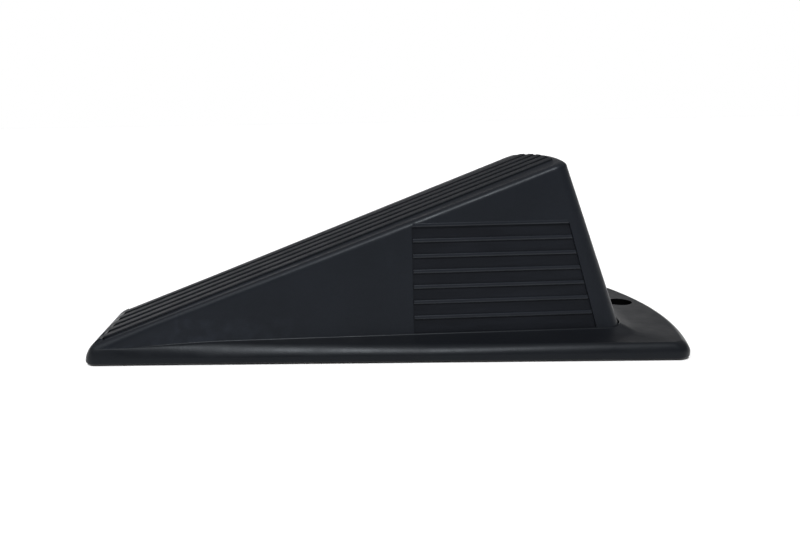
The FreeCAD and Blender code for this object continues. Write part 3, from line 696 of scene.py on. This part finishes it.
def rear_stations():
    """Pairs of a point at the wall's foot and the plate's outline beyond it, with the flange's climb."""
    even = [step / SIDE_STEPS for step in range(SIDE_STEPS + 1)]
    back_half = wall_half(BACK_CORNER_X, PLATE_TOP)
    crown = BACK_CORNER_X - math.sqrt(BACK_RADIUS ** 2 - back_half ** 2)
    wall = rear_outline(WALL_HALF, WALL_FLARE, crown, BACK_RADIUS, BACK_CORNER_ROUND, even)
    heel_half, depth = plate_half(HEEL_CORNER_X), LENGTH / 2 - HEEL_CORNER_X
    bow = (heel_half * heel_half + depth * depth) / (depth * 2)
    reach = wall[SIDE_STEPS].x - TOE_END
    centre = corner_centre(plate_half(0), PLATE_FLARE, LENGTH / 2 - bow, bow, HEEL_CORNER_ROUND)
    full = centre.x - HEEL_CORNER_ROUND * math.sin(PLATE_FLARE) - TOE_END
    fanned = [smooth(share, *FAN) / smooth(1.0, *FAN) for share in even]
    ahead = [(reach * share + (full - reach) * fan) / full for share, fan in zip(even, fanned)]
    plate = rear_outline(plate_half(0), PLATE_FLARE, LENGTH / 2 - bow, bow, HEEL_CORNER_ROUND, ahead)
    climbs = [side_climb(point.x) for point in wall[:SIDE_STEPS + 1]]
    while len(climbs) < len(wall):
        share = min((len(climbs) - SIDE_STEPS) / CORNER_STEPS, 1.0)
        climbs.append(FLANGE_CLIMB + (HEEL_CLIMB - FLANGE_CLIMB) * share)
    return list(zip(wall, plate, climbs))


def side_climb(x):
    """How far the flange's top climbs the side wall: nothing at the toe."""
    return FLANGE_CLIMB * smooth(x, *CLIMB_GROWS)


def flange_section(width, climb):
    """Section of the flange from inside the wall out and down to the underside: (offset, height, inset)."""
    lean = math.tan(WALL_DRAFT)
    cove = min(SEAM_COVE, climb, width * COVE_SHARE)
    reach = min(PLATE_RIM, width - cove)
    run = max(min(width - reach, CLIMB_RUN), cove)
    left = climb * (1 - run / CLIMB_RUN)
    points = [(0.0, PLATE_TOP, WALL_OVERLAP)]
    for angle in quarter(COVE_STEPS):
        height = PLATE_TOP + climb + cove * (1 - math.sin(angle))
        offset = cove * (1 - math.cos(angle)) - (height - PLATE_TOP) * lean - SEAM_TUCK
        points.append((offset, height, 0.0))
    points.append((run, PLATE_TOP + left, 0.0))
    fullness = RIM_FULLNESS - (RIM_FULLNESS - RIM_FULLNESS_WIDE) * run / CLIMB_RUN
    tall = PLATE_RIM + left
    for angle in reversed(quarter(RIM_STEPS)):
        offset = width - reach + reach * math.cos(angle) ** fullness
        points.append((offset, PLATE_TOP + left - tall * (1 - math.sin(angle) ** fullness), 0.0))
    for angle in quarter(FOOT_STEPS):
        height = PLATE_BOTTOM + PLATE_FOOT * (1 - math.sin(angle))
        points.append((width, height, PLATE_FOOT * (1 - math.cos(angle))))
    return points


def nose_x(z):
    """Front of the nose at a height."""
    centre = nose_centre()
    return centre.x - math.sqrt(NOSE_RADIUS ** 2 - (z - centre.y) ** 2)


def toe_station(share, across):
    """One line down the plate's toe: share of the way back to TOE_END, or across its front."""
    front = nose_x(PLATE_TOP)
    start = front + (TOE_END - front) * share
    width = plate_half(start) - wall_half(start, PLATE_TOP)
    line = []
    for offset, height, inset in flange_section(width, side_climb(start)):
        level = min(height, PLATE_TOP)
        edge = nose_x(level)
        x = edge + (TOE_END - edge) * share
        loss = wall_half(x, height) - body_half(x, height)
        facing = max(1 - (x - edge) / TOE_EDGE, 0.0)
        y = wall_half(x, PLATE_TOP) - loss + offset - inset * math.sqrt(1 - facing * facing)
        line.append(Vector((x + inset * facing, y * across, height)))
    return line


def plate_lines():
    """Lines from the wall down to the underside, from the toe's middle round one side to the heel's."""
    lines = [toe_station(0.0, step / FRONT_STEPS) for step in range(FRONT_STEPS)]
    for step in range(TOE_STEPS):
        lines.append(toe_station(1 - math.cos(math.pi / 2 * step / TOE_STEPS), 1.0))
    for wall, plate, climb in rear_stations():
        out = plate - wall
        width = out.length
        line = []
        for offset, height, inset in flange_section(width, climb):
            place = wall + out * ((offset - inset) / width)
            line.append(Vector((place.x, place.y, height)))
        lines.append(line)
    return lines


def close_level(bm, height):
    """Fill the open outline that lies at one height."""
    rim = [edge for edge in bm.edges if edge.is_boundary
           and all(abs(vert.co.z - height) < SAME_LEVEL for vert in edge.verts)]
    bmesh.ops.triangle_fill(bm, edges=rim, use_beauty=True)


def prism(outline, low, high):
    """A closed upright block with the given plan."""
    bm = bmesh.new()
    rings = [[bm.verts.new((x, y, z)) for x, y in outline] for z in (low, high)]
    grid_faces(bm, [ring + ring[:1] for ring in rings])
    for ring in rings:
        bm.faces.new(ring)
    bmesh.ops.recalc_face_normals(bm, faces=bm.faces)
    return bm


def sole_outline():
    """Plan of the recess for the sole: flared sides and rounded corners."""
    corners = [(SOLE_FRONT, -1), (SOLE_BACK, -1), (SOLE_BACK, 1), (SOLE_FRONT, 1)]
    points = []
    for x, side in corners:
        inward = 1 if x < 0 else -1
        turn = math.pi / 2 + PLATE_FLARE * -inward
        reach = SOLE_CORNER_ROUND / math.tan(turn / 2)
        start = Vector((x, side * (plate_half(x) - SOLE_MARGIN)))
        along = Vector((inward, side * inward * math.tan(PLATE_FLARE))).normalized()
        across = Vector((0, -side))
        for step in range(SOLE_CORNER_STEPS + 1):
            share = step / SOLE_CORNER_STEPS
            if side == inward * -1:
                share = 1 - share
            bend = (1 - share) ** 2
            points.append(start + along * reach * bend + across * reach * share ** 2)
    return [(point.x, point.y) for point in points]


def circle(x, radius, steps):
    """Plan of a round hole on the middle line."""
    return [(x + radius * math.cos(math.tau * k / steps), radius * math.sin(math.tau * k / steps))
            for k in range(steps)]


def carve(block, cutter):
    """Cut one closed bmesh out of another, and give the result as a new bmesh."""
    pieces = []
    for name, form in (("block", block), ("cutter", cutter)):
        mesh = bpy.data.meshes.new(name)
        form.to_mesh(mesh)
        form.free()
        pieces.append(bpy.data.objects.new(name, mesh))
        bpy.context.scene.collection.objects.link(pieces[-1])
    modifier = pieces[0].modifiers.new("cut", "BOOLEAN")
    modifier.operation = "DIFFERENCE"
    modifier.solver = "EXACT"
    modifier.object = pieces[1]
    bpy.context.view_layer.update()
    result = bmesh.new()
    result.from_object(pieces[0], bpy.context.evaluated_depsgraph_get())
    for piece in pieces:
        mesh = piece.data
        bpy.data.objects.remove(piece)
        bpy.data.meshes.remove(mesh)
    return result


def make_base_plate(materials):
    """The flanged plate, closed over its top inside the walls, with the sole's recess and the hole."""
    bm = bmesh.new()
    lines = plate_lines()
    for side in (-1, 1):
        rows = [[bm.verts.new((point.x, side * point.y, point.z)) for point in line] for line in lines]
        grid_faces(bm, rows)
    bmesh.ops.remove_doubles(bm, verts=bm.verts, dist=WELD)
    bmesh.ops.dissolve_degenerate(bm, edges=bm.edges, dist=WELD)
    close_level(bm, PLATE_TOP)
    close_level(bm, PLATE_BOTTOM)
    bmesh.ops.recalc_face_normals(bm, faces=bm.faces)
    bm = carve(bm, prism(sole_outline(), CUTTER_LOW, SOLE_TOP))
    bm = carve(bm, prism(circle(HANG_HOLE_X, HANG_HOLE_RADIUS, HOLE_STEPS), CUTTER_LOW, CUTTER_HIGH))
    # faces inside the hole take the painted shade, darker than the plate's plastic
    axis = Vector((HANG_HOLE_X, 0))
    for face in bm.faces:
        inside = (face.calc_center_median().xy - axis).length < HANG_HOLE_RADIUS
        upright = abs(face.normal.z) < UPRIGHT
        face.material_index = HOLE_SHADE_SLOT if inside and upright else PLATE_SLOT
    finish_piece(bm, "heel_plate", "base_plate", [materials["plate_plastic"], materials["plate_hole_painted_shade"]])


# ---- tread strips -------------------------------------------------------------------------------


def deck_point(along, across, above):
    """A point in the deck's own frame: along the slope from the nose's end, across, and above the deck."""
    up = Vector((-math.sin(DECK_ANGLE), 0, math.cos(DECK_ANGLE)))
    slope = Vector((math.cos(DECK_ANGLE), 0, math.sin(DECK_ANGLE)))
    return tread_start() + slope * along + Vector((0, across, 0)) + up * above


def tread_start():
    """Point of the deck plane under the place where the nose arc meets the strips' tops."""
    slope, up = deck_axes()
    foot = nose_centre() + up * (NOSE_RADIUS - TREAD_RISE)
    return Vector((foot.x, 0, foot.y))


def strip_stations(across):
    """Pairs of (distance along the deck, height) for one line of a strip, from the nose to the crest."""
    stations = []
    for step in range(NOSE_STEPS + 1):
        turn = blend_start() * (1 - step / NOSE_STEPS)
        height = NOSE_RADIUS * math.cos(turn) - (NOSE_RADIUS - TREAD_RISE)
        stations.append((-NOSE_RADIUS * math.sin(turn), height))
    end_x = TREAD_END_X - TREAD_END_RADIUS + math.sqrt(TREAD_END_RADIUS ** 2 - across ** 2)
    end = (end_x - tread_start().x) / math.cos(DECK_ANGLE)
    for angle in quarter(TREAD_ROUND_STEPS):
        drop = TREAD_ROUND * (1 - math.cos(angle))
        stations.append((end - TREAD_ROUND * (1 - math.sin(angle)), TREAD_RISE - drop))
    return stations


def strip_section(half):
    """Points across a strip: (offset, drop of the rounded edge), with None for the root in the deck."""
    points = [(-half, None)]
    for angle in quarter(TREAD_ROUND_STEPS):
        points.append((-half + TREAD_ROUND * (1 - math.cos(angle)), TREAD_ROUND * (1 - math.sin(angle))))
    mirrored = [(-offset, drop) for offset, drop in reversed(points)]
    return points + mirrored


def make_tread_strip(node, materials):
    """A strip with rounded edges, rooted in the deck and run out over the nose."""
    low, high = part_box(node)
    middle, half = (low.y + high.y) / 2 / MM, (high.y - low.y) / 2 / MM
    bm = bmesh.new()
    columns = []
    for offset, drop in strip_section(half):
        column = []
        for along, height in strip_stations(middle + offset):
            above = min(height, 0.0) - TREAD_ROOT if drop is None else height - drop
            column.append(bm.verts.new(deck_point(along, middle + offset, above)))
        columns.append(column)
    grid_faces(bm, columns)
    grid_faces(bm, [columns[-1], columns[0]])
    bmesh.ops.remove_doubles(bm, verts=bm.verts, dist=WELD)
    bmesh.ops.dissolve_degenerate(bm, edges=bm.edges, dist=WELD)
    bmesh.ops.holes_fill(bm, edges=[edge for edge in bm.edges if edge.is_boundary])
    finish_piece(bm, node.replace("tread_strip", "tread_rib"), node, [materials["tread_rubber"]])


# ---- side grips -----------------------------------------------------------------------------------


def wall_point(side, along, up, outward):
    """A point of a side wall's frame: along the foot towards the heel, up the wall, and out of it."""
    flare, draft = math.tan(WALL_FLARE), math.tan(WALL_DRAFT)
    normal = Vector((-flare, side, draft)).normalized()
    level = Vector((1, flare * side, 0)).normalized()
    climb = normal.cross(level) * -side
    return Vector((0, side * WALL_HALF, PLATE_TOP)) + level * along + climb * up + normal * outward


def grip_far(up):
    """The back edge of a grip at a height on the wall."""
    share = (up - GRIP_LOW) / (GRIP_HIGH - GRIP_LOW)
    return GRIP_BACK_LOW - (GRIP_BACK_LOW - GRIP_BACK_HIGH) * share


def add_bar(bm, side, section, slots, gap, back_slot=0):
    """A bar along the wall with a closed section of (height, depth) points, short of the window by a gap."""
    rows = []
    for up, depth in section + section[:1]:
        start, end = GRIP_FRONT + gap, grip_far(up) - gap
        rows.append([bm.verts.new(wall_point(side, start + (end - start) * k / BAR_STEPS, up, depth))
                     for k in range(BAR_STEPS + 1)])
    grid_faces(bm, rows, slots + [back_slot] * (len(rows) - len(slots)))
    for end in (0, -1):
        bm.faces.new([row[end] for row in rows[:-1]])


def add_rib(bm, side, centre, proud):
    """A rib with rounded edges, the lower one painted pale as a reflection of the floor."""
    half, sunk = RIB_THICKNESS / 2, -GROOVE_DEPTH - RIB_ROOT
    corner = [(RIB_ROUND * (1 - math.cos(angle)), proud - RIB_ROUND * (1 - math.sin(angle)))
              for angle in quarter(RIB_ROUND_STEPS)]
    lower = [(centre - half + inset, depth) for inset, depth in corner]
    upper = [(centre + half - inset, depth) for inset, depth in reversed(corner)]
    section = [(centre - half, sunk), *lower, *upper, (centre + half, sunk)]
    # the lower rounded edge takes the painted reflection of the floor
    slots = [RIB_SLOT] + [PAINTED_REFLECTION_SLOT] * RIB_ROUND_STEPS + [RIB_SLOT] * (RIB_ROUND_STEPS + 2)
    add_bar(bm, side, section, slots, RIB_GAP, RIB_SLOT)


def make_side_grip(node, side, materials):
    """The panel, its ribs, and one more rib as a lip along its upper edge."""
    bm = bmesh.new()
    back = -(GRIP_FLOOR + RIB_HEIGHT)
    slab = [(GRIP_LOW, -GROOVE_DEPTH), (GRIP_HIGH, -GROOVE_DEPTH), (GRIP_HIGH, back), (GRIP_LOW, back)]
    add_bar(bm, side, slab, [PANEL_SLOT], 0.0)
    for index in range(GRIP_RIBS):
        add_rib(bm, side, RIB_FIRST + RIB_PITCH * index, 0.0)
    add_rib(bm, side, RIB_FIRST + RIB_PITCH * GRIP_RIBS, LIP_PROUD)
    surfaces = [materials[name] for name in ("grip_rubber", "grip_rib", "grip_edge_painted_reflection")]
    finish_piece(bm, node + "_ribbed", node, surfaces)


# ---- all together -----------------------------------------------------------------------------------


def paint_cad(materials):
    """Give every CAD node its finish; those that aren't replaced show it."""
    for name, node in frame["nodes"].items():
        for slot in node.material_slots:
            slot.material = materials[SLOTS[name]]


make_camera()
make_world()
make_lights()
make_floor()
finishes = make_materials()
paint_cad(finishes)
make_wedge_body(finishes)
make_base_plate(finishes)
for strip in sorted(name for name in frame["nodes"] if name.startswith("tread_strip")):
    make_tread_strip(strip, finishes)
make_side_grip("side_grip_left", -1, finishes)
make_side_grip("side_grip_right", 1, finishes)

bpy.context.scene.view_settings.view_transform = "Standard"
